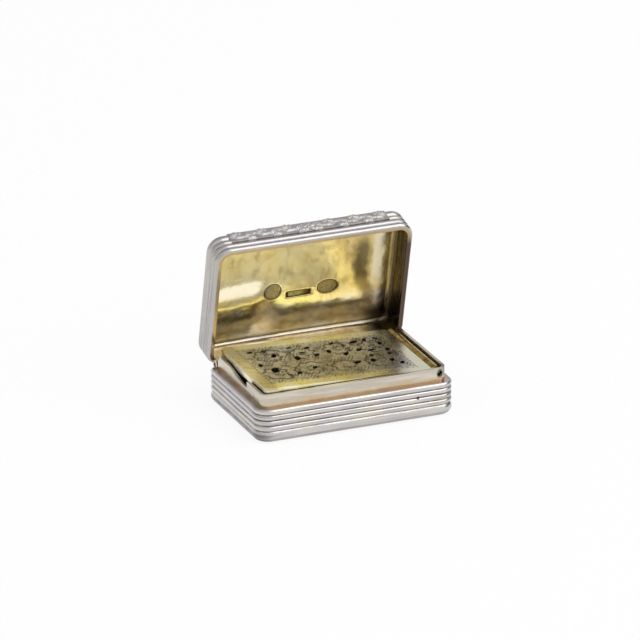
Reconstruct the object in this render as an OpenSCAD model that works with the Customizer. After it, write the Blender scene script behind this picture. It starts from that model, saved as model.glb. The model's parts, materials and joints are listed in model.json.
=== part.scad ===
// A small rectangular silver vinaigrette: a reeded box with a hinged lid, and inside it a
// pierced gilt grille that is hinged on one short side and holds a scented sponge down.
// Millimetres. The origin is the middle of the underside, X runs along the box,
// Y from front to back and Z up. The lid stands open and the grille is ajar.

/* [Box] */
// Length of the box over its reeds
box_l = 32; // [28:0.5:44]
// Depth of the box over its reeds, front to back
box_d = 20.8; // [17:0.2:28]
// Height of the base up to the ledge that the lid shuts on
base_h = 5.3; // [4.4:0.1:7.5]
// Height of the lid from its rim to its top
lid_h = 4.7; // [3.9:0.1:7]
// Corner radius over the reeds
corner_r = 2.4; // [2:0.1:3.5]

/* [Reeded sides] */
// Depth of the grooves between the reeds
reed_depth = 0.32; // [0.2:0.02:0.4]
// Reeds on the base above its rolled foot
base_reeds = 4; // [2:1:6]
// Reeds on the lid below its rolled top edge
lid_reeds = 3; // [2:1:6]

/* [Sheet] */
// Thickness of the lid's sides over the reeds
lid_wall = 0.9; // [0.75:0.05:1.1]
// Thickness of the lid's top sheet
panel_t = 0.5; // [0.4:0.05:0.8]
// Thickness of the floor
floor_t = 0.5; // [0.4:0.05:0.8]
// Thickness of the bezel strip inside the base
bezel_t = 0.45; // [0.35:0.05:0.6]
// Height of the bezel above the ledge
bezel_rise = 2.1; // [1.7:0.1:2.6]
// Length of the bezel strip that is soldered inside the base, below the ledge
bezel_root = 2.2; // [1.5:0.1:2.8]

/* [Nail notch in the bezel] */
// Depth of the notch at its front end
notch_depth = 0.95; // [0.5:0.05:1.2]
// Distance from the front of the box to the steep end of the notch
notch_front = 7.3; // [5:0.1:8]
// Length of the notch, which rises gently towards the back
notch_l = 9; // [6:0.1:10]
// Length of the level bottom of the notch
notch_flat = 1.4; // [0.8:0.1:2.5]

/* [Fits] */
// Least gap between the bezel and the front of the lid as the lid swings over it
lid_fit = 0.05; // [0.04:0.01:0.1]
// Gap between the lid's rim and the ledge when it is shut
rim_gap = 0.05; // [0.03:0.01:0.1]
// Gap between a knuckle and the groove that it turns in
groove_fit = 0.08; // [0.05:0.01:0.12]
// Gap between the back ends of the bezel and the lid hinge
bezel_end_fit = 0.32; // [0.2:0.02:0.6]
// Gap between neighbouring knuckles
knuckle_gap = 0.06; // [0.04:0.01:0.1]
// Gap round a hinge pin
pin_fit = 0.03; // [0.02:0.01:0.05]
// Gap between the grille's edges and the bezel
grille_fit = 0.2; // [0.15:0.01:0.3]
// Gap between the grille's back edge and the inside of the shut lid
grille_back_fit = 0.4; // [0.3:0.05:0.6]
// Gap between the grille's right edge and its hinge tube
grille_tube_fit = 0.1; // [0.08:0.01:0.15]
// Solder seam between the grille's hinge tube and the bezel
tube_seam = 0.03; // [0.02:0.01:0.05]
// Gap between the sponge and the bezel
sponge_fit = 0.4; // [0.3:0.05:0.8]

/* [Lid hinge] */
// Outer radius of the hinge tube
hinge_r = 0.8; // [0.7:0.02:0.85]
// Diameter of the hinge pin
hinge_pin_d = 0.7; // [0.6:0.02:0.8]
// Distance of the hinge axis from the back of the box, over the reeds
hinge_inset = 0.55; // [0.5:0.01:0.6]
// Distance of the tube's ends from the sides of the box
hinge_end = 1.2; // [1:0.1:2]
// Distance of the pin's ends from the tube's ends
pin_recess = 0.3; // [0.2:0.05:0.6]
// Knuckles on the base, with one fewer between them on the lid
base_knuckles = 4; // [2:1:6]
// Angle to which the lid stands open
lid_open = 77.5; // [0:0.5:100]

/* [Thumbpiece] */
// Length of the cast foliage along the lid's front
thumb_l = 25.6; // [18:0.2:26.6]
// Height of the cast foliage
thumb_h = 2.3; // [1.6:0.1:3]
// Distance of its upper edge from the lid's top
thumb_drop = 0.3; // [0.2:0.05:0.6]
// How far its leaves stand out from the reeds
thumb_proud = 0.42; // [0.25:0.01:0.6]
// How far the strip behind the leaves stands out from the reeds
thumb_back = 0.1; // [0.05:0.01:0.2]
// Number of leaves along it
thumb_leaves = 11; // [7:2:15]
// Radius of the swell of one leaf
leaf_swell = 1.35; // [1.2:0.05:1.7]
// How far the leaves lie above and below the middle by turns
leaf_stagger = 0.2; // [0:0.05:0.4]

/* [Grille] */
// Thickness of the pierced plate
grille_t = 0.4; // [0.3:0.05:0.5]
// Height of the strip under its front and left edges
lip_h = 0.75; // [0.5:0.05:0.9]
// Thickness of that strip
lip_t = 0.35; // [0.3:0.05:0.5]
// Depth of the plate's top below the bezel's edge when it is seated
grille_drop = 0.35; // [0.25:0.05:0.5]
// Corner radius of the plate
grille_corner_r = 0.7; // [0.6:0.05:1]
// Plain border round the pierced work
grille_border = 2.1; // [1.8:0.1:2.8]
// Angle to which the grille is lifted
grille_lift = 2.4; // [0:0.1:4.8]

/* [Pierced work] */
// Length of the smallest leaf hole
leaf_short = 0.9; // [0.8:0.05:1.1]
// Length of the largest leaf hole
leaf_long = 2.4; // [1.8:0.05:2.6]
// Width of the smallest leaf hole
leaf_slim = 0.55; // [0.45:0.05:0.65]
// Width of the largest leaf hole
leaf_wide = 1.25; // [1:0.05:1.35]

/* [Grille hinge] */
// Outer radius of the grille's hinge tube
grille_tube_r = 0.75; // [0.65:0.05:0.8]
// Diameter of the grille's hinge pin
grille_pin_d = 0.6; // [0.5:0.05:0.65]
// Diameter of the hole in the bezel where that pin goes in
pin_hole_d = 0.9; // [0.75:0.05:1]
// Depth of the tube's top below the bezel's edge
tube_drop = 0.1; // [0.05:0.05:0.3]
// Length of the grille's own knuckle
grille_knuckle_l = 2.3; // [1.8:0.1:4]
// Distance of that knuckle's middle in front of the box's middle
grille_knuckle_y = 3.4; // [0:0.1:4]
// Length of the strap that joins it to the plate
strap_l = 1.3; // [1:0.1:1.8]
// Thickness of the strap
strap_t = 0.3; // [0.25:0.05:0.35]

/* [Sponge] */
// Height of the sponge
sponge_h = 3.6; // [2.5:0.1:4]

/* [Hidden] */
$fn = 48;
// Length by which a cut runs past the face that it opens
over = 1;
// Straight steps along the gentle end of the nail notch
slope_steps = 8;

// The lid's front swings about the hinge, so the bezel stands back from it by the depth of
// that arc, taken up to the next hundredth
swing_reach = box_d - lid_wall - hinge_inset;
swing_rise = bezel_rise - rim_gap / 2;
swing_depth = swing_reach - sqrt(swing_reach * swing_reach - swing_rise * swing_rise);
base_wall = lid_wall + lid_fit + ceil(100 * swing_depth) / 100;
bezel_top = base_h + bezel_rise;
rim_z = base_h + rim_gap;
lid_top = rim_z + lid_h;

hinge_y = box_d / 2 - hinge_inset;
hinge_z = base_h + rim_gap / 2;
hinge_l = box_l - 2 * hinge_end;
knuckles = 2 * base_knuckles - 1;
knuckle_pitch = hinge_l / knuckles;

bezel_out_l = box_l - 2 * base_wall;
bezel_out_d = box_d - 2 * base_wall;
bezel_out_r = corner_r - base_wall;
bezel_in_x = bezel_out_l / 2 - bezel_t;
bezel_in_y = bezel_out_d / 2 - bezel_t;
bezel_corner_y = bezel_out_d / 2 - bezel_out_r;
bezel_end = hinge_y - hinge_r - bezel_end_fit;

thumb_mid_z = lid_top - thumb_drop - thumb_h / 2;
thumb_pitch = thumb_l / thumb_leaves;

grille_axis_x = bezel_in_x - tube_seam - grille_tube_r;
grille_axis_z = bezel_top - tube_drop - grille_tube_r;
grille_left = -bezel_in_x + grille_fit;
grille_right = grille_axis_x - grille_tube_r - grille_tube_fit;
grille_front = -bezel_in_y + grille_fit;
grille_back = box_d / 2 - lid_wall - grille_back_fit;
grille_top = bezel_top - grille_drop;
grille_mid = [(grille_left + grille_right) / 2, (grille_front + grille_back) / 2];
grille_size = [grille_right - grille_left, grille_back - grille_front];
field = grille_size - 2 * [grille_border, grille_border];
knuckle_front = -grille_knuckle_y - grille_knuckle_l / 2;
knuckle_back = knuckle_front + grille_knuckle_l;

// Leaf holes of the pierced foliage, from the left to the right: place from the middle of the
// field as a share of its half length and half depth, turn, and size from 0 to 1
PIERCED = [
    [-0.92, 0.04, 70, 0.3], [-0.88, 0.84, 20, 0.2], [-0.8, -0.32, 68, 1], [-0.69, 0.8, 150, 0.1],
    [-0.67, -0.68, 120, 0.05], [-0.62, 0.5, 65, 0.45], [-0.53, -0.63, 45, 0.25], [-0.35, 0.23, 75, 0.65],
    [-0.32, 0.86, 12, 0.15], [-0.26, -0.41, 60, 0.3], [-0.22, 0.5, 120, 0.05], [-0.09, 0.76, 35, 0.2],
    [-0.06, 0.29, 52, 0.4], [0.14, 0.41, 70, 0.35], [0.28, 0.84, 50, 0.25], [0.32, 0.16, 62, 0.4],
    [0.35, -0.39, 35, 0.5], [0.41, 0.68, 140, 0], [0.54, 0.3, 45, 0.35], [0.57, -0.38, 75, 0.45],
    [0.58, 0.78, 20, 0.55], [0.62, -0.08, 80, 0.15], [0.7, 0.22, 10, 0.35], [0.75, 0.84, 60, 0.2],
    [0.82, -0.47, 65, 0.3], [0.88, -0.08, 70, 0.2], [0.9, 0.55, 70, 0.25], [0.91, 0.17, 60, 0.25],
    [0.91, -0.68, 55, 0.25], [0.91, 0.85, 110, 0.2]
];

SILVER = "#cfccc6";
GILT = "#c8ab5c";
SPONGE = "#6b5b45";

// Height of a roll of radius r up to the first groove
function roll_height(r) = r + sqrt(r * r - (r - reed_depth) * (r - reed_depth));

// Radius of a reed that falls to the groove depth at half a pitch
function reed_radius(pitch) = (pitch * pitch / 4 + reed_depth * reed_depth) / (2 * reed_depth);

// Middle of lid-hinge knuckle i along X
function knuckle_x(i) = (i - (knuckles - 1) / 2) * knuckle_pitch;

// Rectangle with round corners
module round_rect(l, d, r) {
    square([l - 2 * r, d], center = true);
    square([l, d - 2 * r], center = true);
    for (x = [-1, 1], y = [-1, 1])
        translate([x * (l / 2 - r), y * (d / 2 - r)])
            circle(r = r);
}

// A section, drawn with +X outwards and +Y up, along a straight back edge
module run(length) {
    rotate([90, 0, 90])
        linear_extrude(height = length, center = true)
            children();
}

// The same section round a quarter turn of radius r
module bend(r) {
    rotate_extrude(angle = 90)
        translate([r, 0])
            children();
}

// The same section all round a rectangle with round corners
module frame(l, d, r) {
    for (half = [0, 180])
        rotate([0, 0, half]) {
            translate([0, d / 2, 0])
                run(l - 2 * r)
                    children();
            translate([l / 2, 0, 0])
                rotate([0, 0, -90])
                    run(d - 2 * r)
                        children();
            translate([l / 2 - r, d / 2 - r, 0])
                bend(r)
                    children();
            translate([r - l / 2, d / 2 - r, 0])
                rotate([0, 0, 90])
                    bend(r)
                        children();
        }
}

// Section of a reeded side with a roll along its lower edge
module reeded_section(wall, height, count) {
    roll_h = roll_height(wall);
    pitch = (height - roll_h) / count;
    reed_r = reed_radius(pitch);
    intersection() {
        square([wall, height]);
        union() {
            translate([0, wall])
                circle(r = wall);
            translate([0, wall])
                square([wall - reed_depth, height - wall]);
            for (i = [0 : count - 1])
                translate([wall - reed_r, roll_h + (i + 0.5) * pitch])
                    circle(r = reed_r);
        }
    }
}

// Bed of the lid hinge: tight where own knuckles are soldered in, free where the others turn
module hinge_groove(first_free) {
    free_r = hinge_r + groove_fit;
    translate([0, hinge_y, hinge_z])
        rotate([0, 90, 0]) {
            cylinder(r = hinge_r, h = hinge_l, center = true);
            for (i = [first_free : 2 : knuckles - 1])
                translate([0, 0, knuckle_x(i)])
                    cylinder(r = free_r, h = knuckle_pitch + knuckle_gap, center = true);
            for (side = [0, 180])
                rotate([side, 0, 0])
                    translate([0, 0, (hinge_l - knuckle_gap) / 2])
                        cylinder(r = free_r, h = hinge_end + over);
        }
}

// One knuckle of the lid hinge
module hinge_knuckle(i) {
    translate([knuckle_x(i), hinge_y, hinge_z])
        rotate([0, 90, 0])
            difference() {
                cylinder(r = hinge_r, h = knuckle_pitch - knuckle_gap, center = true);
                cylinder(d = hinge_pin_d + 2 * pin_fit, h = knuckle_pitch + over, center = true);
            }
}

// One stretch of the grille's hinge tube, from y0 to y1
module grille_tube(y0, y1) {
    translate([grille_axis_x, y0, grille_axis_z])
        rotate([-90, 0, 0])
            difference() {
                union() {
                    cylinder(r = grille_tube_r, h = y1 - y0);
                    children();
                }
                translate([0, 0, -over])
                    cylinder(d = grille_pin_d + 2 * pin_fit, h = y1 - y0 + 2 * over);
            }
}

// Turns the shut lid open about its hinge
module lid_pose() {
    translate([0, hinge_y, hinge_z])
        rotate([-lid_open, 0, 0])
            translate([0, -hinge_y, -hinge_z])
                children();
}

// Lifts the seated grille about its hinge
module grille_pose() {
    translate([grille_axis_x, 0, grille_axis_z])
        rotate([0, grille_lift, 0])
            translate([-grille_axis_x, 0, -grille_axis_z])
                children();
}

// Reeded sides of the base, bent round and soldered, with the bed of the lid hinge at the back
module base_band() {
    color(SILVER)
        difference() {
            frame(bezel_out_l, bezel_out_d, bezel_out_r)
                reeded_section(base_wall, base_h, base_reeds);
            hinge_groove(1);
        }
}

// Flat floor, on which the box stands
module base_floor() {
    color(SILVER)
        linear_extrude(height = floor_t)
            round_rect(bezel_out_l, bezel_out_d, bezel_out_r);
}

// Outline of the nail notch, with Y to the right and Z up
module notch_outline() {
    y0 = notch_front - box_d / 2;
    rise = notch_l - notch_flat;
    slope = [for (k = [0 : slope_steps]) [
        y0 + notch_flat + rise * k / slope_steps,
        bezel_top - notch_depth * (1 + cos(180 * k / slope_steps)) / 2
    ]];
    polygon(concat(
        [[y0, bezel_top + over], [y0, bezel_top - notch_depth]],
        slope,
        [[y0 + notch_l, bezel_top + over]]
    ));
}

// Bezel: a strip round the front and sides that the lid shuts over. Its back ends are filed
// round outside, to go into the corners
module bezel() {
    in_l = 2 * bezel_in_x;
    color(GILT)
        difference() {
            translate([0, 0, base_h - bezel_root])
                linear_extrude(height = bezel_root + bezel_rise)
                    intersection() {
                        difference() {
                            round_rect(bezel_out_l, bezel_out_d, bezel_out_r);
                            round_rect(in_l, 2 * bezel_in_y, bezel_out_r - bezel_t);
                            translate([-bezel_in_x, 0])
                                square([in_l, box_d]);
                        }
                        translate([-box_l / 2, -box_d / 2])
                            square([box_l, bezel_end + box_d / 2]);
                    }
            translate([-box_l / 2, 0, 0])
                rotate([90, 0, 90])
                    linear_extrude(height = base_wall + bezel_t + over)
                        notch_outline();
            translate([grille_axis_x, -bezel_in_y + over, grille_axis_z])
                rotate([90, 0, 0])
                    cylinder(d = pin_hole_d, h = bezel_t + 2 * over);
        }
}

// Knuckle i of the lid hinge on the base
module base_knuckle(i) {
    color(SILVER)
        hinge_knuckle(2 * i);
}

// Pin of the lid hinge
module lid_hinge_pin() {
    color(SILVER)
        translate([0, hinge_y, hinge_z])
            rotate([0, 90, 0])
                cylinder(d = hinge_pin_d, h = hinge_l - 2 * pin_recess, center = true);
}

// Reeded sides of the lid, with a flat filed across the front for the thumbpiece
module lid_band() {
    color(SILVER)
        lid_pose()
            difference() {
                translate([0, 0, lid_top])
                    mirror([0, 0, 1])
                        frame(box_l - 2 * lid_wall, box_d - 2 * lid_wall, corner_r - lid_wall)
                            reeded_section(lid_wall, lid_h, lid_reeds);
                hinge_groove(0);
                thumb_bed(thumb_l, over);
            }
}

// Block from the bottom of the grooves out to a distance in front of the reeds
module thumb_bed(l, out) {
    translate([-l / 2, -box_d / 2 - out, thumb_mid_z - thumb_h / 2])
        cube([l, reed_depth + out, thumb_h]);
}

// Top sheet of the lid, let in flush with the rolled edge
module lid_panel() {
    color(GILT)
        lid_pose()
            translate([0, 0, lid_top - panel_t])
                linear_extrude(height = panel_t)
                    round_rect(box_l - 2 * lid_wall, box_d - 2 * lid_wall, corner_r - lid_wall);
}

// Cast foliage along the front of the lid: a strip with a row of swelling leaves
module thumbpiece() {
    color(SILVER)
        lid_pose() {
            thumb_bed(thumb_l, thumb_back);
            intersection() {
                thumb_bed(thumb_l, thumb_proud);
                for (i = [0 : thumb_leaves - 1])
                    translate([
                        (i - (thumb_leaves - 1) / 2) * thumb_pitch,
                        leaf_swell - box_d / 2 - thumb_proud,
                        thumb_mid_z + (i % 2 == 0 ? 1 : -1) * leaf_stagger
                    ])
                        sphere(r = leaf_swell);
            }
        }
}

// Knuckle i of the lid hinge on the lid
module lid_knuckle(i) {
    color(SILVER)
        lid_pose()
            hinge_knuckle(2 * i + 1);
}

// Outline of a leaf hole: two arcs that meet in points
module leaf(l, w) {
    arc_r = (l * l + w * w) / (4 * w);
    intersection() {
        translate([0, arc_r - w / 2])
            circle(r = arc_r);
        translate([0, w / 2 - arc_r])
            circle(r = arc_r);
    }
}

// Outline of the leaf holes in the field
module foliage_holes() {
    for (hole = PIERCED) {
        size = hole[3];
        translate([hole.x * field.x / 2, hole.y * field.y / 2])
            rotate([0, 0, hole[2]])
                leaf(
                    leaf_short + (leaf_long - leaf_short) * size,
                    leaf_slim + (leaf_wide - leaf_slim) * size
                );
    }
}

// Plate pierced with foliage inside a plain border
module grille_plate() {
    color(GILT)
        grille_pose()
            translate([grille_mid.x, grille_mid.y, grille_top - grille_t])
                difference() {
                    linear_extrude(height = grille_t)
                        round_rect(grille_size.x, grille_size.y, grille_corner_r);
                    translate([0, 0, -over])
                        linear_extrude(height = grille_t + 2 * over)
                            foliage_holes();
                }
}

// Strip under the front and left edges of the plate
module grille_lip() {
    inner = grille_size - 2 * [lip_t, lip_t];
    color(GILT)
        grille_pose()
            translate([grille_mid.x, grille_mid.y, grille_top - grille_t - lip_h])
                linear_extrude(height = lip_h)
                    intersection() {
                        difference() {
                            round_rect(grille_size.x, grille_size.y, grille_corner_r);
                            round_rect(inner.x, inner.y, grille_corner_r - lip_t);
                        }
                        translate(-grille_size / 2) {
                            square([grille_size.x - grille_corner_r, grille_corner_r]);
                            square([grille_corner_r, grille_size.y - grille_corner_r]);
                        }
                    }
}

// Knuckle of the grille, with the strap that is soldered under the plate
module grille_knuckle() {
    strap_top = grille_top - grille_t - grille_axis_z;
    color(GILT)
        grille_pose()
            grille_tube(knuckle_front, knuckle_back)
                translate([-grille_tube_r - strap_l, -strap_top, 0])
                    cube([strap_l + grille_tube_r / 2, strap_t, grille_knuckle_l]);
}

// Long stretch of the grille's hinge tube, soldered to the bezel behind the grille's knuckle
module grille_tube_back() {
    color(GILT)
        grille_tube(knuckle_back + knuckle_gap, bezel_end);
}

// Short stretch of the tube in front of it
module grille_tube_front() {
    color(GILT)
        grille_tube(-bezel_corner_y, knuckle_front - knuckle_gap);
}

// Pin of the grille hinge, put in through the hole in the bezel
module grille_hinge_pin() {
    color(SILVER)
        translate([grille_axis_x, pin_recess - bezel_in_y, grille_axis_z])
            rotate([-90, 0, 0])
                cylinder(d = grille_pin_d, h = bezel_in_y + bezel_end - 2 * pin_recess);
}

// Sponge that holds the scent, under the grille
module sponge() {
    color(SPONGE)
        translate([0, 0, floor_t])
            linear_extrude(height = sponge_h)
                round_rect(
                    2 * (bezel_in_x - sponge_fit),
                    2 * (bezel_in_y - sponge_fit),
                    bezel_out_r
                );
}

base_band();
base_floor();
bezel();
lid_hinge_pin();
for (i = [1 : base_knuckles])
    base_knuckle(i - 1);
grille_tube_back();
grille_tube_front();
grille_hinge_pin();
sponge();
lid_band();
lid_panel();
thumbpiece();
for (i = [1 : base_knuckles - 1])
    lid_knuckle(i - 1);
grille_plate();
grille_lip();
grille_knuckle();
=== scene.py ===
import json
import math

import bmesh
import bpy
from mathutils import Matrix, Vector, noise


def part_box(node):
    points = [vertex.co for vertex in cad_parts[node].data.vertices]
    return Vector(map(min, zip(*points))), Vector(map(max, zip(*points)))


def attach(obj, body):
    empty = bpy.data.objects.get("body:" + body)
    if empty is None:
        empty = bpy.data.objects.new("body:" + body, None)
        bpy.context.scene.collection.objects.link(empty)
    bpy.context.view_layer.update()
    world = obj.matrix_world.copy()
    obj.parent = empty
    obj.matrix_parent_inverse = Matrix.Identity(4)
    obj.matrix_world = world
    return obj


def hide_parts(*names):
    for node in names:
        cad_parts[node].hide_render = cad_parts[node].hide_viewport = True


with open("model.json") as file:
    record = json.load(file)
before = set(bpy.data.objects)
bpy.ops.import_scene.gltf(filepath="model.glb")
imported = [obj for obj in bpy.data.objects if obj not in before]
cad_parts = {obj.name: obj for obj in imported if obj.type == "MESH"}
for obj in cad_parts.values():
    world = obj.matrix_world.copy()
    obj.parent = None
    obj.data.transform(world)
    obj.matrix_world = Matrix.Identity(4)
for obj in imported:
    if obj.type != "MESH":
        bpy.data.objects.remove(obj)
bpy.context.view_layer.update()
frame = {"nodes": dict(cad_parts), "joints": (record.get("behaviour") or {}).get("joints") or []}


# Table, room and camera.
# The box stands on white paper in a pale room, under one broad soft lamp on the right. The
# camera has a long lens and looks down on the front left corner.
MM = 0.001
PAPER = (0.95, 0.95, 0.95)
PAPER_ROUGH = 0.9
PAPER_SHOWN_WHITE = 0.90
TABLE_HALF, TABLE_DROP = 3.0, 0.05 * MM
scene = bpy.context.scene
scene.view_settings.view_transform = "Standard"


class Wire:
    """A socket in a node tree. Expressions on it add the nodes that work them out."""

    def __init__(self, tree, socket=None):
        self.tree = tree
        self.socket = socket

    def add(self, kind, settings, inputs, output=0):
        """One output of a new node, whose settings are set before its sockets."""
        node = self.tree.nodes.new(kind)
        for key, value in settings.items():
            setattr(node, key, value)
        for key, value in inputs.items():
            if isinstance(value, Wire):
                self.tree.links.new(value.socket, node.inputs[key])
            else:
                node.inputs[key].default_value = value
        return Wire(self.tree, node.outputs[output])

    def math(self, operation, other=0.0):
        return self.add("ShaderNodeMath", {"operation": operation}, {0: self, 1: other})

    def __add__(self, other):
        return self.math("ADD", other)

    def __sub__(self, other):
        return self.math("SUBTRACT", other)

    def __rsub__(self, other):
        return self.add("ShaderNodeMath", {"operation": "SUBTRACT"}, {0: other, 1: self})

    def __mul__(self, other):
        return self.math("MULTIPLY", other)

    def __truediv__(self, other):
        return self.math("DIVIDE", other)

    def __abs__(self):
        return self.math("ABSOLUTE")

    __radd__ = __add__
    __rmul__ = __mul__

    def most(self, other):
        return self.math("MAXIMUM", other)

    def least(self, other):
        return self.math("MINIMUM", other)

    def smooth(self, low, high):
        """0 below low, 1 above high, and an even ease between them."""
        return self.add("ShaderNodeMapRange", {"interpolation_type": "SMOOTHSTEP"},
                        {"Value": self, "From Min": low, "From Max": high})

    def below(self, low, high):
        """1 below low, 0 above high, and an even ease between them."""
        return 1 - self.smooth(low, high)

    def blend(self, a, b):
        """Colour a where this wire is 0 and colour b where it is 1."""
        ends = {6 + i: c if isinstance(c, Wire) else (*c, 1) for i, c in enumerate((a, b))}
        return self.add("ShaderNodeMix", {"data_type": "RGBA"}, {0: self, **ends}, output=2)

    def xyz(self):
        return [self.add("ShaderNodeSeparateXYZ", {}, {0: self}, output=i) for i in range(3)]

    def noise(self, scale, detail=3.0, rough=0.5):
        return self.add("ShaderNodeTexNoise", {},
                        {"Vector": self, "Scale": scale, "Detail": detail, "Roughness": rough})

    def stretched(self, scale):
        return self.add("ShaderNodeMapping", {}, {"Vector": self, "Scale": scale})

    def into(self, node, socket):
        self.tree.links.new(self.socket, node.inputs[socket])


paper = bpy.data.materials.new("white_paper")
paper.use_nodes = True
paper_sheet = paper.node_tree.nodes["Principled BSDF"]
paper_sheet.inputs["Base Color"].default_value = (*PAPER, 1)
paper_sheet.inputs["Roughness"].default_value = PAPER_ROUGH
paper_sheet.inputs["Specular IOR Level"].default_value = 0
shader = Wire(paper.node_tree)
by_camera, by_metal, by_glass = [
    shader.add("ShaderNodeLightPath", {}, {}, output=name)
    for name in ("Is Camera Ray", "Is Glossy Ray", "Is Transmission Ray")]
shown = shader.add("ShaderNodeMixShader", {}, {
    0: by_camera.most(by_metal).most(by_glass) * PAPER_SHOWN_WHITE,
    1: Wire(paper.node_tree, paper_sheet.outputs[0]),
    2: shader.add("ShaderNodeEmission", {}, {"Color": (1, 1, 1, 1), "Strength": 1.0}),
})
shown.into(paper.node_tree.nodes["Material Output"], "Surface")

table = bmesh.new()
bmesh.ops.create_grid(table, x_segments=2, y_segments=2, size=TABLE_HALF)
bmesh.ops.translate(table, vec=(0, 0, -TABLE_DROP), verts=table.verts)
table_mesh = bpy.data.meshes.new("table")
table.to_mesh(table_mesh)
table.free()
table_mesh.materials.append(paper)
table_object = bpy.data.objects.new("table", table_mesh)
scene.collection.objects.link(table_object)

ROOM_LOW = (0.95, 0.95, 0.96)
ROOM_BACK = (0.50, 0.50, 0.53)
ROOM_RIGHT = (0.20, 0.20, 0.21)
BACK_WALL_FROM, BACK_WALL_ABOVE = (-0.3, 0.7), (0.05, 0.6)
LEFT_WALL_TO, LEFT_WALL_SHADE = (-0.9, -0.2), 0.45
RIGHT_WALL_FROM = (0.75, 0.95)
room = bpy.data.worlds.new("pale_room")
room.use_nodes = True
scene.world = room
shader = Wire(room.node_tree)
side_x, side_y, side_z = shader.add("ShaderNodeTexCoord", {}, {}, output="Generated").xyz()
room_colour = (side_x.below(*LEFT_WALL_TO) * LEFT_WALL_SHADE).blend(ROOM_LOW, ROOM_BACK)
behind = side_y.smooth(*BACK_WALL_FROM) * side_z.smooth(*BACK_WALL_ABOVE)
room_colour = behind.blend(room_colour, ROOM_BACK)
room_colour = side_x.smooth(*RIGHT_WALL_FROM).blend(room_colour, ROOM_RIGHT)
background = room.node_tree.nodes["Background"]
by_camera = shader.add("ShaderNodeLightPath", {}, {}, output="Is Camera Ray")
by_camera.blend(room_colour, (1, 1, 1)).into(background, "Color")
background.inputs["Strength"].default_value = 1.0

LAMP_AT = Vector((0.30, -0.22, 0.48))
LAMP_SIZE, LAMP_WATTS = 0.60, 1.2
lamp = bpy.data.lights.new("soft_lamp", "AREA")
lamp.shape = "DISK"
lamp.size = LAMP_SIZE
lamp.energy = LAMP_WATTS
lamp_object = bpy.data.objects.new("soft_lamp", lamp)
lamp_object.location = LAMP_AT
lamp_object.rotation_euler = (-LAMP_AT).to_track_quat("-Z", "Y").to_euler()
scene.collection.objects.link(lamp_object)

AZIMUTH, ELEVATION = math.radians(-22.92), math.radians(21.51)
DISTANCE = 1.109
SENSOR = 36
PIXELS, PIXELS_PER_M = 640, 6678
AIM_HEIGHT = 8 * MM
BOX_IN_VIEW = (11.0, 36.4)
back = Vector((math.sin(AZIMUTH) * math.cos(ELEVATION),
               -math.cos(AZIMUTH) * math.cos(ELEVATION), math.sin(ELEVATION)))
right = Vector((math.cos(AZIMUTH), math.sin(AZIMUTH), 0))
up = back.cross(right)
aim = Vector((0, 0, AIM_HEIGHT)) - right * (BOX_IN_VIEW[0] / PIXELS_PER_M)
aim += up * (BOX_IN_VIEW[1] / PIXELS_PER_M)
camera = bpy.data.cameras.new("camera")
camera.sensor_width = SENSOR
camera.lens = SENSOR * DISTANCE * PIXELS_PER_M / PIXELS
camera.clip_start, camera.clip_end = 0.05, 20
camera_object = bpy.data.objects.new("camera", camera)
camera_object.location = aim + back * DISTANCE
camera_object.rotation_euler = (-back).to_track_quat("-Z", "Y").to_euler()
scene.collection.objects.link(camera_object)
scene.camera = camera_object


# Reeded sides of the base, with the floor and the pins of the hinges.
# Sterling silver strip, drawn with its reeds, bent round and soldered on a sheet floor. It is
# polished, softly worn, dark with tarnish along the grooves, and stained on the ledge.
nodes = frame["nodes"]
joints = {joint["name"]: joint for joint in frame["joints"]}
SILVER_COOL = (0.58, 0.56, 0.56)
SILVER_WARM = (0.66, 0.62, 0.57)
SILVER_GREY = (0.36, 0.345, 0.34)
TARNISH = (0.09, 0.075, 0.065)
LEDGE_ROSY = (0.60, 0.44, 0.30)
LEDGE_BROWN = (0.30, 0.25, 0.20)
BASE_SHADE = (0.13, 0.12, 0.115)
BASE_GROOVES, BASE_FIRST_GROOVE, BASE_GROOVE_STEP = 4, 1.833, 0.8667
BASE_GROOVE_WIDE = 0.14
BASE_LEFT_TO, BASE_RIGHT_FROM = (-15.5, -13.0), (15.1, 15.8)
BASE_FRONT_TO = (-10.0, -9.0)
FOOT_TOP, FOOT_TOP_LEFT = (0.5, 1.0), (1.15, 1.6)
LEDGE_AT = (5.24, 5.29)
LEDGE_STAIN_WIDE = (0.35, 0.75)
BEZEL_HALF, BEZEL_CORNER = (14.93, 9.33), 1.33
PIT, PIT_R, PIT_DEPTH = (9.75, 3.58), 0.1, 0.15


def finish(name, joint=None, degrees=0.0):
    """A new metal, its shader, and object coordinates in millimetres, which are turned about
    a joint to where the piece lies when the box is shut."""
    material = bpy.data.materials.new(name)
    material.use_nodes = True
    metal = material.node_tree.nodes["Principled BSDF"]
    metal.inputs["Metallic"].default_value = 1
    turn = Matrix.Identity(3)
    shift = Vector((0, 0, 0))
    if joint:
        turn = Matrix.Rotation(math.radians(degrees), 3, Vector(joints[joint]["axis"]))
        pivot = Vector(joints[joint]["pos_m"]) / MM
        shift = pivot - turn @ pivot
    place = Wire(material.node_tree).add("ShaderNodeTexCoord", {}, {}, output="Object")
    place = place.add("ShaderNodeMapping", {}, {
        "Vector": place, "Location": shift, "Rotation": turn.to_euler(), "Scale": (1 / MM,) * 3,
    })
    return material, metal, place


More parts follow.
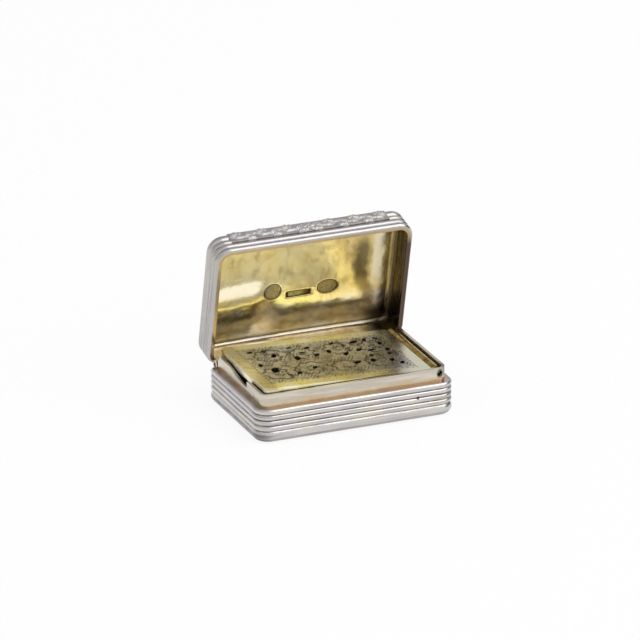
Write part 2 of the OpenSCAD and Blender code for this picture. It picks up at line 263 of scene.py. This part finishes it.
def silver_wear(place, tarnish):
    """Colour, roughness and height of worn polished silver, dark where tarnish is 1."""
    cloud = place.noise(0.28, detail=4)
    scratch = place.stretched((0.25, 0.25, 9)).noise(1.0, rough=0.6)
    dents = place.noise(0.75, detail=2)
    drawn = place.stretched((0.10, 0.10, 3.2)).noise(1.0, detail=2).smooth(0.45, 0.68)
    dark = tarnish * place.noise(0.9).smooth(0.2, 0.65)
    colour = cloud.smooth(0.35, 0.65).blend(SILVER_COOL, SILVER_WARM)
    colour = dark.blend((drawn * 0.65).blend(colour, SILVER_GREY), TARNISH)
    rough = 0.13 + cloud * 0.10 + scratch * 0.12 + dark * 0.25
    height = dents * 0.05 + scratch * 0.004
    return colour, rough, height


def put_on(metal, colour, rough, height):
    """Joins a colour, a roughness and a height in millimetres to a metal's shader."""
    colour.into(metal, "Base Color")
    rough.into(metal, "Roughness")
    bump = height.add("ShaderNodeBump", {}, {"Height": height, "Distance": MM, "Strength": 1.0})
    bump.into(metal, "Normal")


def groove_lines(height, first, step, count, width):
    """1 along evenly spaced grooves and 0 between and beyond them."""
    turn = (height - first) / step
    away = abs((turn + 0.5).math("FRACT") - 0.5) * step
    last = first + (count - 1) * step
    grooved = height.smooth(first - 0.5 * step, first - 0.4 * step)
    grooved = grooved * height.below(last + 0.4 * step, last + 0.5 * step)
    return away.below(0.0, width) * grooved


def past_rounded(x, y, half, corner):
    """How far a point lies outside a rectangle with round corners, in millimetres."""
    qx, qy = abs(x) - (half[0] - corner), abs(y) - (half[1] - corner)
    ax, ay = qx.most(0.0), qy.most(0.0)
    return (ax * ax + ay * ay).math("SQRT") - corner + qx.most(qy).least(0.0)


def oval(a, b, middle, half):
    """Square of the distance from the middle of an oval, which is 1 on its outline."""
    da, db = (a - middle[0]) / half[0], (b - middle[1]) / half[1]
    return da * da + db * db


base_silver, metal, place = finish("base_silver")
x, y, z = place.xyz()
on_left = x.below(*BASE_LEFT_TO)
uneven = place.stretched((0.3, 0.3, 1.2)).noise(1.0).smooth(0.35, 0.65)
grooves = groove_lines(z, BASE_FIRST_GROOVE, BASE_GROOVE_STEP, BASE_GROOVES, BASE_GROOVE_WIDE)
grooves = grooves * (0.12 + uneven * 0.45 + on_left * 0.45)
pit = oval(x, z, PIT, (PIT_R, PIT_R)).below(1, 7) * y.below(*BASE_FRONT_TO) * 0.7
colour, rough, height = silver_wear(place, grooves.most(pit))
# Painted shade: the foot is darkened along its bottom, taller and stronger on the left. The
# right end is darkened as a painted dark reflection.
base_shade = z.below(*FOOT_TOP) * (0.5 + on_left * 0.4)
base_shade = base_shade.most(z.below(*FOOT_TOP_LEFT) * on_left * (0.55 + uneven * 0.35))
base_shade = base_shade.most(x.smooth(*BASE_RIGHT_FROM) * 0.55)
colour = base_shade.blend(colour, BASE_SHADE)
past_bezel = past_rounded(x, y, BEZEL_HALF, BEZEL_CORNER)
ledge = z.smooth(*LEDGE_AT) * past_bezel.below(*LEDGE_STAIN_WIDE)
ledge = ledge * (0.45 + place.noise(0.5).smooth(0.3, 0.6) * 0.55)
colour = ledge.blend(colour, on_left.blend(LEDGE_ROSY, LEDGE_BROWN))
put_on(metal, colour, rough, height - pit * PIT_DEPTH)
nodes["base_band"].material_slots[0].material = base_silver

plain_silver, metal, place = finish("plain_silver")
put_on(metal, *silver_wear(place, place.noise(1.2).smooth(0.55, 0.75) * 0.5))
for name in ("base_floor", "lid_hinge_pin", "grille_hinge_pin"):
    nodes[name].material_slots[0].material = plain_silver


# Bezel.
# A strip of silver, gilt like the inside, soldered round the front and sides for the lid to
# shut over. The lid has rubbed its upper part back to silver and left it rosy lower down.
GILT_ROSY = (0.62, 0.45, 0.29)
GILT_FAINT = (0.62, 0.53, 0.38)
RUBBED = (0.55, 0.51, 0.43)
RUBBED_CREAM = (0.69, 0.62, 0.52)
BEZEL_SHADE = (0.10, 0.085, 0.07)
RUBBED_FROM, RUBBED_UNEVEN = (6.2, 6.9), 1.1
DARK_CORNER_FROM, DARK_CORNER_TO = (13.9, 14.6), (-8.5, -6.0)
PIN_HOLE, PIN_HOLE_SHADE_HALF = (13.75, 6.5), (0.6, 0.95)
BEZEL_FRONT_TO = (-9.0, -8.0)


def gilt_wear(place, colour):
    """Colour, roughness and height of thin, worn gilding over the hammered sheet."""
    rough = 0.16 + place.noise(0.35, detail=4) * 0.14
    height = place.noise(0.5) * 0.05 + place.noise(6, detail=2) * 0.002
    return colour, rough, height


bezel_gilt, metal, place = finish("bezel_gilt")
x, y, z = place.xyz()
rosy = place.noise(0.3).smooth(0.35, 0.65).blend(GILT_ROSY, GILT_FAINT)
streak = place.stretched((0.18, 0.18, 2.4)).noise(1.0).smooth(0.4, 0.65)
cream = streak.blend(RUBBED, RUBBED_CREAM)
# Painted shade: the front right corner is darkened, with a round dark spot where the pin ends.
corner_shade = x.smooth(*DARK_CORNER_FROM) * y.below(*DARK_CORNER_TO) * 0.7
pin_hole_shade = oval(x, z, PIN_HOLE, PIN_HOLE_SHADE_HALF).below(0.3, 1.2) * y.below(*BEZEL_FRONT_TO)
cream = corner_shade.most(pin_hole_shade * 0.85).blend(cream, BEZEL_SHADE)
paler_part = (z + place.noise(0.6, detail=4) * RUBBED_UNEVEN).smooth(*RUBBED_FROM)
put_on(metal, *gilt_wear(place, paler_part.blend(rosy, cream)))
nodes["bezel"].material_slots[0].material = bezel_gilt


# Hinges.
# Seamed silver tube, cut into knuckles that are soldered by turns to the two halves, with a
# pin through them. The tube of the grille's hinge is gilt, and brown with old polish.
TUBE_OLIVE = (0.50, 0.41, 0.19)
TUBE_BROWN = (0.26, 0.19, 0.08)
KNUCKLE_GILT_TO, KNUCKLE_GILT_LEAN = (-0.25, 0.15), 0.4
tube_gilt, metal, place = finish("tube_gilt")
brown = place.noise(0.8, detail=4).smooth(0.35, 0.7)
put_on(metal, *gilt_wear(place, brown.blend(TUBE_OLIVE, TUBE_BROWN)))
for name in ("grille_tube_back", "grille_tube_front", "grille_knuckle"):
    nodes[name].material_slots[0].material = tube_gilt

lid_hinge = Vector(joints["lid_hinge"]["pos_m"])
knuckle_silver, metal, place = finish("knuckle_silver")
y, z = place.xyz()[1:]
past_pin = y - lid_hinge.y / MM - (z - lid_hinge.z / MM) * KNUCKLE_GILT_LEAN
colour, rough, height = silver_wear(place, place.noise(1.5).smooth(0.4, 0.7) * 0.7)
put_on(metal, past_pin.below(*KNUCKLE_GILT_TO).blend(colour, GILT_FAINT), rough, height)
for name in nodes:
    if name.startswith(("base_knuckle", "lid_knuckle")):
        nodes[name].material_slots[0].material = knuckle_silver


# Sponge.
# A pad of natural sponge, brown with old scent, lying loose in the well under the grille. It
# is cut square and full of pores.
SPONGE_DARK = (0.035, 0.024, 0.014)
SPONGE_BROWN = (0.12, 0.085, 0.05)
SPONGE_CUTS = 47
SPONGE_ROUND = 0.55 * MM
PORE_DEPTH, PORE_WIDE, PORE_SCALE = 0.45 * MM, 1.7, 0.8
SAG_DEPTH, SAG_SCALE = 0.12 * MM, 0.6


def put(name, mesh_in_progress, material, body, sharp_degrees=50.0):
    """Makes a finished bmesh into a piece that rides on a body."""
    bmesh.ops.recalc_face_normals(mesh_in_progress, faces=mesh_in_progress.faces)
    mesh = bpy.data.meshes.new(name)
    mesh_in_progress.to_mesh(mesh)
    mesh_in_progress.free()
    mesh.shade_smooth()
    mesh.set_sharp_from_angle(angle=math.radians(sharp_degrees))
    mesh.materials.append(material)
    piece = bpy.data.objects.new(name, mesh)
    scene.collection.objects.link(piece)
    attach(piece, body)
    return piece


sponge_brown, soft, place = finish("sponge_brown")
soft.inputs["Metallic"].default_value = 0
soft.inputs["Roughness"].default_value = 0.95
soft.inputs["Specular IOR Level"].default_value = 0.1
mottled = place.noise(1.4, detail=5).smooth(0.35, 0.7)
mottled.blend(SPONGE_DARK, SPONGE_BROWN).into(soft, "Base Color")

low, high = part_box("sponge")
middle, size = (low + high) / 2, high - low
pad = bmesh.new()
bmesh.ops.create_cube(pad, size=1.0)
bmesh.ops.subdivide_edges(pad, edges=pad.edges, cuts=SPONGE_CUTS, use_grid_fill=True)
for vert in pad.verts:
    point = Vector([c * s for c, s in zip(vert.co, size)])
    core = Vector([max(-s / 2 + SPONGE_ROUND, min(s / 2 - SPONGE_ROUND, c))
                   for c, s in zip(point, size)])
    out = point - core
    if out.length > 1e-9:
        out = out.normalized()
    pore = noise.voronoi(point / MM * PORE_SCALE)[0][0]
    sunk = PORE_DEPTH * max(0, 1 - PORE_WIDE * pore)
    sunk += SAG_DEPTH * (1 + noise.noise(point / MM * SAG_SCALE)) / 2
    vert.co = middle + core + out * (SPONGE_ROUND - min(sunk, 0.9 * SPONGE_ROUND))
pad_piece = put("sponge_pad", pad, sponge_brown, "base", 180)
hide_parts("sponge")


# Reeded sides of the lid.
# The same reeded strip as the base, with a rolled upper edge and a flat filed across the front.
# It is silver outside and gilt inside, and the rim between them is rubbed pale.
LINING = (0.66, 0.59, 0.45)
LINING_DULL = (0.46, 0.37, 0.22)
CORNER_DARK = (0.05, 0.036, 0.016)
RIM_LILAC = (0.50, 0.47, 0.47)
RIM_GILT = (0.45, 0.33, 0.15)
RIM_BROWN = (0.11, 0.075, 0.055)
WALL_BROWN = (0.045, 0.03, 0.02)
WALL_OLIVE = (0.14, 0.12, 0.05)
LID_OPEN = 77.5
LID_TOP, LID_RIM = 10.05, 5.35
LID_HALF, LID_CORNER = (15.1, 9.5), 1.5
LID_GROOVES, LID_FIRST_GROOVE, LID_GROOVE_STEP = 3, 1.588, 1.0373
LID_GROOVE_WIDE = 0.17
BEND_LEFT_TO, BEND_FRONT_TO = (-15.0, -13.0), (-9.5, -7.0)
DARKER_LEFT_TO = (-15.6, -14.5)
SHADED_FRONT_TO, SHADED_LEFT_TO = (-10.2, -9.4), (-15.8, -15.0)
DARK_WALL_FROM, OLIVE_ABOVE_RIM = (13.5, 15.0), (1.6, 2.2)
BROWN_RIM_FROM, BROWN_RIM_BEHIND = (14.0, 15.2), (-9.0, -6.5)
RIM_TALL, RIM_GILT_WIDE = (0.22, 0.45), (0.35, 0.6)
LINING_TO, LINING_UNEVEN = (0.02, 0.14), 0.12
CORNER_DARK_HALF, CORNER_DARK_REACH, CORNER_DARK_SHARE = (1 / 0.8, 1 / 0.55), (1.0, 4.4), 0.9


def dark_in_corner(x, y):
    """Darkening into the lid's far right corner by the hinge, from its most in the corner to 0.
    """
    far = oval(x, y, LID_HALF, CORNER_DARK_HALF).math("SQRT")
    return far.below(*CORNER_DARK_REACH) * CORNER_DARK_SHARE


lid_silver, metal, place = finish("lid_silver", "lid_hinge", -LID_OPEN)
x, y, z = place.xyz()
grooves = groove_lines(LID_TOP - z, LID_FIRST_GROOVE, LID_GROOVE_STEP, LID_GROOVES,
                       LID_GROOVE_WIDE)
# The grooves are drawn darker on the left end and in the bend at the front left corner.
in_bend = x.below(*BEND_LEFT_TO) * y.below(*BEND_FRONT_TO)
grooves = grooves * (0.65 + x.below(*DARKER_LEFT_TO) * 0.45 + in_bend * 0.3)
colour, rough, height = silver_wear(place, grooves)
shaded = (y.below(*SHADED_FRONT_TO) * 0.5).most(x.below(*SHADED_LEFT_TO) * 0.45)
colour = shaded.blend(colour, SILVER_GREY)

above_rim = z - LID_RIM
lining = place.noise(0.45, detail=4).smooth(0.3, 0.7).blend(LINING, LINING_DULL)
streak = place.stretched((0.9, 0.12, 1.4)).noise(1.0).smooth(0.4, 0.6)
wall_colour = above_rim.smooth(*OLIVE_ABOVE_RIM).blend(WALL_BROWN, WALL_OLIVE)
lining = (x.smooth(*DARK_WALL_FROM) * (0.65 + streak * 0.3)).blend(lining, wall_colour)
lining = dark_in_corner(x, y).blend(lining, CORNER_DARK)

edge = past_rounded(x, y, LID_HALF, LID_CORNER)
edge = edge + (place.noise(1.5, detail=2) - 0.5) * LINING_UNEVEN
browned = x.smooth(*BROWN_RIM_FROM) * y.smooth(*BROWN_RIM_BEHIND)
rim_colour = edge.smooth(*RIM_GILT_WIDE).blend(RIM_GILT, RIM_LILAC)
rim_colour = browned.blend(rim_colour, RIM_BROWN)
rim = above_rim.below(*RIM_TALL) * (0.85 + browned * 0.15)
colour = rim.blend(edge.smooth(*LINING_TO).blend(lining, colour), rim_colour)
put_on(metal, colour, rough, height)
nodes["lid_band"].material_slots[0].material = lid_silver


# Top sheet of the lid.
# Silver sheet let in flush with the rolled edge and soldered, so that a cove of solder runs
# round inside. Its inside is gilt, with three blank punches, and its outside is engine-turned.
PANEL_T = 0.5
PANEL_GRID = (240, 152)
COVE = 0.75
DISH = 0.26
HAMMERED, HAMMERED_SCALE = 0.03, 0.35
SWELL, SWELL_SLANT = 0.12, 0.06
SWELL_RISE, SWELL_FALL = (-1.5, 1.4), (1.5, 4.4)
SWELL_FADE = (-8.0, -2.5)
PUNCH_DEPTH, PUNCH_SLOPE = 0.10, 0.15
BURR, BURR_OUT, BURR_WIDE = 0.12, 0.20, 0.10
PUNCHES = [
    ((-4.3, 1.36), (1.38, 1.38), 2),
    ((0.05, 2.3), (2.0, 0.52), 8),
    ((4.68, 1.81), (1.7, 1.2), 2),
]
open_lid = (Matrix.Translation(lid_hinge) @ Matrix.Rotation(math.radians(-LID_OPEN), 4, "X")
            @ Matrix.Translation(-lid_hinge) @ Matrix.Scale(MM, 4))


def ease(value, low, high):
    """0 below low, 1 above high, and an even ease between them."""
    share = max(0.0, min(1.0, (value - low) / (high - low)))
    return share * share * (3 - 2 * share)


def punch_depth(x, y):
    """1 on the floor of a punch, a little below 0 on the burr round it, and 0 away from it."""
    depth = 0.0
    for (cx, cy), (rx, ry), power in PUNCHES:
        reach = (abs((x - cx) / rx) ** power + abs((y - cy) / ry) ** power) ** (1 / power)
        edge = (1 - reach) * min(rx, ry)
        burr = BURR * math.exp(-((edge + BURR_OUT) / BURR_WIDE) ** 2)
        depth += ease(edge, -PUNCH_SLOPE, PUNCH_SLOPE) - burr
    return depth


def unevenness(x, y):
    """Height of the hammered face: dished from end to end, with a swell across its left."""
    height = HAMMERED * noise.noise(Vector((x * HAMMERED_SCALE, y * HAMMERED_SCALE, 7.0)))
    height += DISH * (1 - (x / LID_HALF[0]) ** 2)
    along = y + SWELL_SLANT * x
    across = ease(along, *SWELL_RISE) - ease(along, *SWELL_FALL)
    return height - SWELL * across * (1 - ease(x, *SWELL_FADE))


sheet = bmesh.new()
bmesh.ops.create_grid(sheet, x_segments=PANEL_GRID[0], y_segments=PANEL_GRID[1], size=1.0)
bmesh.ops.scale(sheet, vec=(*LID_HALF, 1), verts=sheet.verts)
for vert in sheet.verts:
    q = Vector((abs(vert.co.x) - LID_HALF[0] + LID_CORNER,
                abs(vert.co.y) - LID_HALF[1] + LID_CORNER))
    if q.x > 0 and q.y > 0:
        bent = q * (max(q) / q.length)
        vert.co.x -= math.copysign(q.x - bent.x, vert.co.x)
        vert.co.y -= math.copysign(q.y - bent.y, vert.co.y)
        inside = LID_CORNER - bent.length
    else:
        inside = LID_CORNER - max(q)
    near = max(0.0, COVE - max(0.0, inside))
    cove = COVE - math.sqrt(COVE * COVE - near * near)
    flat = LID_TOP - PANEL_T + unevenness(vert.co.x, vert.co.y)
    vert.co.z = flat - cove + PUNCH_DEPTH * punch_depth(vert.co.x, vert.co.y)
outer = bmesh.ops.extrude_face_region(sheet, geom=sheet.faces[:])["geom"]
for vert in (g for g in outer if isinstance(g, bmesh.types.BMVert)):
    vert.co.z = LID_TOP
bmesh.ops.transform(sheet, matrix=open_lid, verts=sheet.verts)

GILT = (0.98, 0.80, 0.34)
GILT_PALE = (0.98, 0.86, 0.50)
GILT_DEEP = (0.54, 0.40, 0.14)
GILT_BAND_HIGHLIGHT = (1.0, 0.92, 0.70)
GILT_REFLECTED_WALL = (0.11, 0.09, 0.04)
GILT_STAIN_AND_REFLECTION = (0.34, 0.24, 0.08)
GILT_GREY = (0.86, 0.80, 0.68)
GILT_STRIP_HIGHLIGHT = (0.90, 0.88, 0.78)
GILT_FADED = (0.52, 0.49, 0.40)
COVE_PALE = (0.43, 0.375, 0.31)
PUNCH_DARK = (0.065, 0.042, 0.013)
DIM_REFLECTION_FROM = (-3, 11)
BRIGHT_BAND = (0.6, 2.4)
TILT, TILT_RISE = 0.95, (-3.0, 2.6)
DARK_BAND_FROM, DARK_BAND_TO = (1.5, 2.4), (4.5, 7.0)
DARK_BAND_BESIDE_ABOVE, DARK_BAND_BESIDE_FROM, DARK_BAND_BESIDE_TO = (2.4, 4.0), (-9.5, -7.0), (-4.0, -1.0)
GREY_FROM = (2.8, 4.6)
HIGHLIGHT_STRIP_X, HIGHLIGHT_STRIP_WIDE, HIGHLIGHT_STRIP_TO = 12.6, (0.5, 1.3), (0, 4)
FADED, FADED_HALF = (0.5, -7.2), (3.6, 1.8)
REFLECTED_WALL, REFLECTED_WALL_WIDE, REFLECTED_WALL_TALL, REFLECTED_WALL_UNEVEN = (9.8, -2.2), (0.4, 1.7), (2.2, 5.0), 4
IN_COVE, IN_PUNCH, PUNCH_FLOOR = (-0.30, -0.10), (0.02, 0.05), (0.08, 0.12)
lid_gilt, metal, place = finish("lid_gilt", "lid_hinge", -LID_OPEN)
x, y, z = place.xyz()
cloud = place.noise(0.22, detail=5, rough=0.6)
along = y + x * SWELL_SLANT
on_left = x.below(*SWELL_FADE)
swell = (along.smooth(*SWELL_RISE) - along.smooth(*SWELL_FALL)) * on_left
dished = x / LID_HALF[0]
sunk = z - (LID_TOP - PANEL_T + DISH) + dished * dished * DISH + swell * SWELL

gold = cloud.smooth(0.3, 0.7).blend(GILT, GILT_PALE)
stain = place.noise(0.5, detail=4).smooth(0.52, 0.72)
# Painted reflection: the gilt deepens towards the right, where the sheet mirrors darker things.
# The stain noise also deepens it in patches.
gold = (stain * 0.35 + x.smooth(*DIM_REFLECTION_FROM) * 0.7).blend(gold, GILT_DEEP)
streaks = place.stretched((0.62, 0.30, 0.3)).noise(1.0, detail=4).smooth(0.5, 0.68)
gold = (streaks * 0.4).blend(gold, GILT_STAIN_AND_REFLECTION)
# Painted highlight: the gilt is paler along the bright band across the left, where the bump
# tilts the sheet to mirror the white table.
paler_part = abs(y).below(*BRIGHT_BAND) * on_left
gold = (paler_part * 0.9).blend(gold, GILT_BAND_HIGHLIGHT)
# Painted reflection: a darker band beyond the bright one and along to its right, where the sheet
# mirrors the dark gap at the hinge.
dark_band = along.smooth(*DARK_BAND_FROM) * along.below(*DARK_BAND_TO) * on_left
beside = x.smooth(*DARK_BAND_BESIDE_FROM) * x.below(*DARK_BAND_BESIDE_TO)
dark_band = dark_band.most(along.smooth(*DARK_BAND_BESIDE_ABOVE) * beside)
gold = (dark_band * 0.6).blend(gold, GILT_STAIN_AND_REFLECTION)
gold = (y.smooth(*GREY_FROM) * (0.3 + cloud.smooth(0.4, 0.6) * 0.5)).blend(gold, GILT_GREY)
# Painted highlight: a pale strip near the right end.
strip_highlight = abs(x - HIGHLIGHT_STRIP_X).below(*HIGHLIGHT_STRIP_WIDE) * y.below(*HIGHLIGHT_STRIP_TO)
gold = (strip_highlight * 0.4).blend(gold, GILT_STRIP_HIGHLIGHT)
faded = (oval(x, y, FADED, FADED_HALF) + (cloud - 0.5) * 2).below(0.2, 1.2)
gold = (faded * 0.35).blend(gold, GILT_FADED)
# Painted reflection: a dark olive upright patch on the right, where the sheet mirrors the lid's
# dark right wall.
reflected_wall = abs(x - REFLECTED_WALL[0] + (cloud - 0.5) * REFLECTED_WALL_UNEVEN).below(*REFLECTED_WALL_WIDE)
reflected_wall = reflected_wall * abs(y - REFLECTED_WALL[1]).below(*REFLECTED_WALL_TALL)
gold = (reflected_wall * 0.85).blend(gold, GILT_REFLECTED_WALL)
gold = sunk.smooth(*IN_COVE).blend(COVE_PALE, gold)
stipple = place.noise(7.0, detail=1).smooth(0.35, 0.65)
# The punch walls are painted shade, and their floors are a dark stippled ground.
in_punch = sunk.smooth(*IN_PUNCH)
dark = (in_punch * sunk.below(*PUNCH_FLOOR)).most(in_punch * (0.45 + stipple * 0.4))
gold = dark.blend(gold, PUNCH_DARK)
gold = dark_in_corner(x, y).blend(gold, CORNER_DARK)
gilt_rough = 0.16 + cloud * 0.12 + dark * 0.2 - paler_part * 0.1
gilt_height = place.noise(0.5, detail=2) * 0.06 + place.noise(5, detail=2) * 0.002
gilt_height = gilt_height + along.smooth(*TILT_RISE) * on_left * TILT

TURNED_BORDER, TURNED_EDGE = 1.3, 0.05
BLANK_HALF = (4.2, 1.9)
WAVE_PITCH, WAVE_LENGTH, WAVE_SWING, WAVE_DEPTH = 0.42, 1.7, 0.16, 0.05
colour, rough, height = silver_wear(place, place.noise(0.8).smooth(0.6, 0.8) * 0.3)
outside = (z - LID_TOP).smooth(-0.08, -0.04)
from_edge = (LID_HALF[0] - abs(x)).least(LID_HALF[1] - abs(y))
from_blank = (abs(x) - BLANK_HALF[0]).most(abs(y) - BLANK_HALF[1])
turned = from_edge.smooth(TURNED_BORDER - TURNED_EDGE, TURNED_BORDER + TURNED_EDGE)
turned = turned * from_blank.smooth(-TURNED_EDGE, TURNED_EDGE) * outside
wave = y + (x * (math.tau / WAVE_LENGTH)).math("SINE") * WAVE_SWING
ridge = 0.5 - 0.5 * (wave * (math.tau / WAVE_PITCH)).math("COSINE")
colour = (turned * (1 - ridge) * 0.45).blend(colour, TARNISH)
within = 1 - outside
put_on(metal, outside.blend(gold, colour), outside * rough + within * gilt_rough,
       outside * height * 0.5 + within * gilt_height + turned * ridge * WAVE_DEPTH)
panel_piece = put("lid_top_sheet", sheet, lid_gilt, "lid")
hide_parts("lid_panel")


# Thumbpiece.
# Cast and chased silver foliage soldered along the front of the lid, to lift it by: a running
# stem with leaves to either side of a flower, dark in its hollows.
THUMB_L, THUMB_H = 25.6, 2.3
THUMB_GRID = (340, 38)
THUMB_MIDDLE = 8.6
THUMB_FACE, THUMB_BED = -10.4, -10.08
THUMB_PROUD = 0.30
THUMB_ROUND_END, THUMB_ROUND_EDGE, THUMB_EDGE_PROUD = 0.25, 0.12, 0.15
GROUND = 0.12
FLOWER_R, FLOWER_EYE, PETALS = 1.1, 0.2, 6
STEM_FROM, STEM_SWING, STEM_R, STEM_PROUD = 0.9, 0.42, 0.2, 0.7
LEAVES, LEAF_PITCH, LEAF_ROOT = 6, 2.05, (0.75, 0.2)
LEAF_SPRAY = [
    (40, 1.65, 0.55), (5, 2.0, 0.45), (82, 1.0, 0.42), (-40, 1.3, 0.45), (-78, 0.95, 0.36),
]
LEAF_LOBES, MIDRIB, MIDRIB_WIDE = 5, 0.35, 0.09


def leaf_relief(u, v, length, width):
    """Height of a lobed leaf with a cut midrib, along u from its root and across v."""
    t = u / length
    if not 0 < t < 1:
        return 0.0
    edge = width * math.sin(math.pi * t ** 0.8)
    edge *= 0.82 + 0.18 * math.cos(LEAF_LOBES * math.tau * t)
    if edge <= 1e-6 or abs(v) >= edge:
        return 0.0
    crown = math.sqrt(1 - (v / edge) ** 2) * (0.75 + 0.25 * math.sin(math.pi * t))
    return crown - MIDRIB * math.exp(-(v / MIDRIB_WIDE) ** 2)


def foliage(x, z):
    """Height of the relief, from its ground to 1 on its highest leaf."""
    a = abs(x)
    best = GROUND
    turn = math.atan2(z, max(a, 1e-9))
    far = math.hypot(a, z)
    if far < FLOWER_R:
        petal = FLOWER_R * (0.75 + 0.25 * math.cos(PETALS * turn))
        eye = 1 - 0.4 * math.exp(-(far / FLOWER_EYE) ** 2)
        best = max(best, math.sqrt(max(0.0, 1 - (far / petal) ** 2)) * eye)
    if a > STEM_FROM:
        off_stem = (z - STEM_SWING * math.sin(math.pi * a / LEAF_PITCH)) / STEM_R
        best = max(best, STEM_PROUD * math.sqrt(max(0.0, 1 - off_stem ** 2)))
    for k in range(LEAVES):
        side = 1 if k % 2 else -1
        off = Vector((a - LEAF_ROOT[0] - k * LEAF_PITCH, z - LEAF_ROOT[1] * side))
        for lean, length, width in LEAF_SPRAY:
            lean = math.radians(lean)
            vein = Vector((math.cos(lean), side * math.sin(lean)))
            best = max(best, leaf_relief(off.dot(vein), off.cross(vein), length, width))
    return best


strip = bmesh.new()
bmesh.ops.create_grid(strip, x_segments=THUMB_GRID[0], y_segments=THUMB_GRID[1], size=0.5)
bmesh.ops.scale(strip, vec=(THUMB_L, THUMB_H, 1), verts=strip.verts)
for vert in strip.verts:
    x, z = vert.co.x, vert.co.y
    rounded = min(1.0, (THUMB_L / 2 - abs(x)) / THUMB_ROUND_END,
                  (THUMB_H / 2 - abs(z)) / THUMB_ROUND_EDGE)
    proud = THUMB_PROUD * foliage(x, z) * max(THUMB_EDGE_PROUD, rounded)
    vert.co = Vector((x, THUMB_FACE - proud, THUMB_MIDDLE + z))
rear = bmesh.ops.extrude_face_region(strip, geom=strip.faces[:])["geom"]
for vert in (g for g in rear if isinstance(g, bmesh.types.BMVert)):
    vert.co.y = THUMB_BED
bmesh.ops.transform(strip, matrix=open_lid, verts=strip.verts)

cast_silver, metal, place = finish("cast_silver", "lid_hinge", -LID_OPEN)
hollow = (place.xyz()[1] - THUMB_FACE).smooth(-0.20, -0.02) * 0.28
colour, rough, height = silver_wear(place, hollow)
put_on(metal, colour, rough + 0.16, height)
thumb_piece = put("thumbpiece_foliage", strip, cast_silver, "lid", 60)
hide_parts("thumbpiece")


# Grille.
# A gilt plate pierced with a saw and engraved with eight leafy scrolls, with a strip under its
# front and left edges. The middle is rubbed grey, and the plain border has kept its gilding.
BORDER_GILT = (0.80, 0.76, 0.36)
BORDER_PALE = (0.90, 0.88, 0.64)
BORDER_PALE_REFLECTION = (0.80, 0.77, 0.64)
BORDER_TAN = (0.40, 0.32, 0.19)
FIELD_GREY = (0.41, 0.40, 0.345)
FIELD_PALE = (0.60, 0.58, 0.51)
FIELD_DARK = (0.15, 0.14, 0.105)
CUT_DARK = (0.06, 0.05, 0.035)
GRILLE_MIDDLE = (-0.715, 0.21)
FIELD = (22.93, 13.58)
BORDER_EDGE, BORDER_UNEVEN = (-0.35, 0.45), 0.9
PALE_REFLECTION_FROM, TAN_TO = (3, 9), (-12.6, -11.8)
DARK_BEHIND = (-2, 5)
SCROLL_PITCH, SCROLL_STAGGER = (5.6, 6.4), 0.7
SCROLL_R = (3.4, 2.9, 3.2, 3.6)
SCROLL_LOBES = (3.5, 4.5, 4.0, 5.0)
LOBE_DEEP, COIL_TIGHT, CUT_WIDE = 0.5, 0.62, (0.35, 0.46)
HATCH_SLANT, HATCH_FINE = 0.6, 11.0
RULE_OUT, RULE_WIDE, RULE_SWING, RULE_FINE = 0.25, (0.03, 0.14), 0.16, 7.0
CUT_DEPTH = 0.05
grille_gilt, metal, place = finish("grille_gilt")
x, y = place.xyz()[:2]
past_field = (abs(x - GRILLE_MIDDLE[0]) - FIELD[0] / 2).most(
    abs(y - GRILLE_MIDDLE[1]) - FIELD[1] / 2)
border = (past_field + (place.noise(1.6) - 0.5) * BORDER_UNEVEN).smooth(*BORDER_EDGE)
cloud = place.noise(0.4, detail=4)
gold = cloud.smooth(0.35, 0.65).blend(BORDER_GILT, BORDER_PALE)
# Painted reflection: the border pales to cream towards the right, where it mirrors bright
# things.
gold = (x.smooth(*PALE_REFLECTION_FROM) * 0.7).blend(gold, BORDER_PALE_REFLECTION)
gold = (x.below(*TAN_TO) * 0.6).blend(gold, BORDER_TAN)
grey = cloud.smooth(0.3, 0.7).blend(FIELD_GREY, FIELD_PALE)
patches = place.noise(0.75, detail=4).smooth(0.48, 0.64)
grey = (patches * (0.5 + y.smooth(*DARK_BEHIND) * 0.35)).blend(grey, FIELD_DARK)

hatch = ((x - y * HATCH_SLANT) * HATCH_FINE).math("SINE").smooth(0.2, 0.8)
hatched = place.stretched((1, 1, 0)).noise(0.5, detail=2).smooth(0.5, 0.6)
cut = hatch * hatched * 0.75
for column in range(4):
    for row in (-1, 1):
        across = (column - 1.5) * SCROLL_PITCH[0] + row * SCROLL_STAGGER
        dx = x - (GRILLE_MIDDLE[0] + across)
        dy = y - (GRILLE_MIDDLE[1] + row * SCROLL_PITCH[1] / 2)
        reach = (dx * dx + dy * dy).math("SQRT")
        turn = dy.math("ARCTAN2", dx) * (row if column % 2 else -row)
        lobes = 1 - abs((turn * SCROLL_LOBES[column - (row > 0)] + column).math("SINE"))
        coil = (reach + lobes * LOBE_DEEP) * COIL_TIGHT - turn / math.tau
        line = abs(coil.math("FRACT") - 0.5).smooth(*CUT_WIDE)
        radius = SCROLL_R[column - (row < 0)]
        cut = cut.most(line * reach.below(radius - 0.5, radius))
cut = cut * (1 - border)
wiggle = ((x + y) * RULE_FINE).math("SINE") * RULE_SWING
rule = abs(past_field - RULE_OUT + wiggle).below(*RULE_WIDE)
engraved = (cut * 0.9).most(rule * 0.5)
colour = engraved.blend(border.blend(grey, gold), CUT_DARK)
rough = 0.2 + cloud * 0.15 + engraved * 0.2
put_on(metal, colour, rough, place.noise(0.6) * 0.05 - engraved * CUT_DEPTH)
nodes["grille_plate"].material_slots[0].material = grille_gilt

lip_gilt, metal, place = finish("lip_gilt")
lip_colour = place.noise(0.5, detail=4).smooth(0.35, 0.65).blend(RUBBED, BORDER_PALE)
put_on(metal, *gilt_wear(place, lip_colour))
nodes["grille_lip"].material_slots[0].material = lip_gilt
